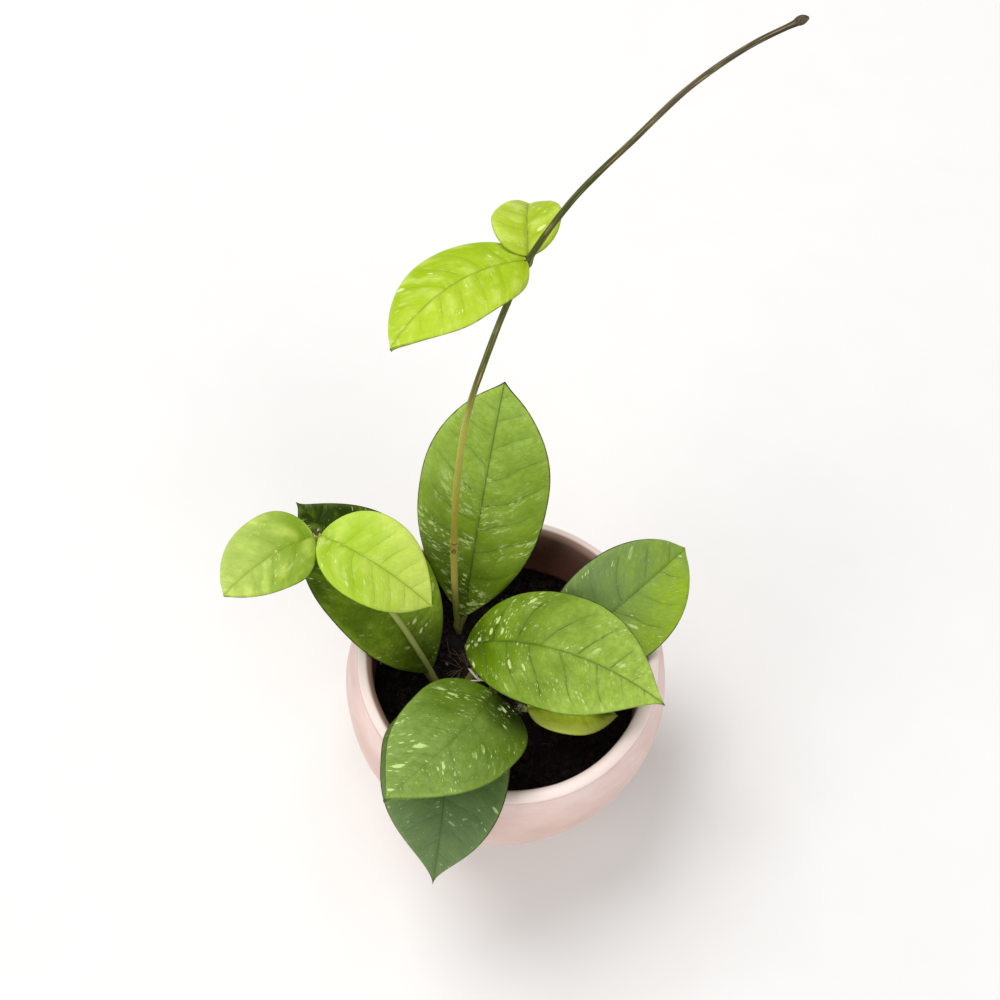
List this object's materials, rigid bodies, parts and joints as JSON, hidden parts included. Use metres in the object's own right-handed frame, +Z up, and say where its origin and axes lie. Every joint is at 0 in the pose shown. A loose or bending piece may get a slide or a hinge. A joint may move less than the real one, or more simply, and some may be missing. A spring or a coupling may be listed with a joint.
{
  "type": "potted hoya plant",
  "caption": "Vining house plant with thick, waxy, silver-flecked oval leaves in a round, pale ceramic planter, with one long bare vine arching up to the side.",
  "frame": {"origin": "middle of the pot's flat base, on the surface it stands on", "axes": "+Z up out of the pot; -Y is the front, where a leaf hangs over the rim; the long vine arches towards +X"},
  "size_m": [0.1427, 0.1445, 0.2841],
  "materials": {
    "pot_ceramic": "pale blush, matt, brushed wash with a lighter lip",
    "soil": "dark, crumbly potting mix of peat and bark with fine roots",
    "stem": "smooth olive-brown bark, paler low down and darker towards the tip",
    "mature_leaf": "waxy dark green with silver flecks and a thin dark margin",
    "young_leaf": "waxy lime green with faint veins and a few pale flecks"
  },
  "bodies": {
    "root": {"pot": "pot_ceramic", "soil": "soil", "vine_stem": "stem", "left_shoot": "stem", "middle_stem": "stem", "young_shoot": "stem", "leaf_back": "mature_leaf", "leaf_left": "mature_leaf", "leaf_right_back": "mature_leaf", "leaf_right_front": "mature_leaf", "leaf_front": "mature_leaf", "leaf_hanging": "mature_leaf", "leaf_young": "young_leaf", "leaf_shoot_outer": "young_leaf", "leaf_shoot_inner": "young_leaf", "leaf_vine_left": "young_leaf", "leaf_vine_back": "young_leaf"}
  },
  "joints": []
}
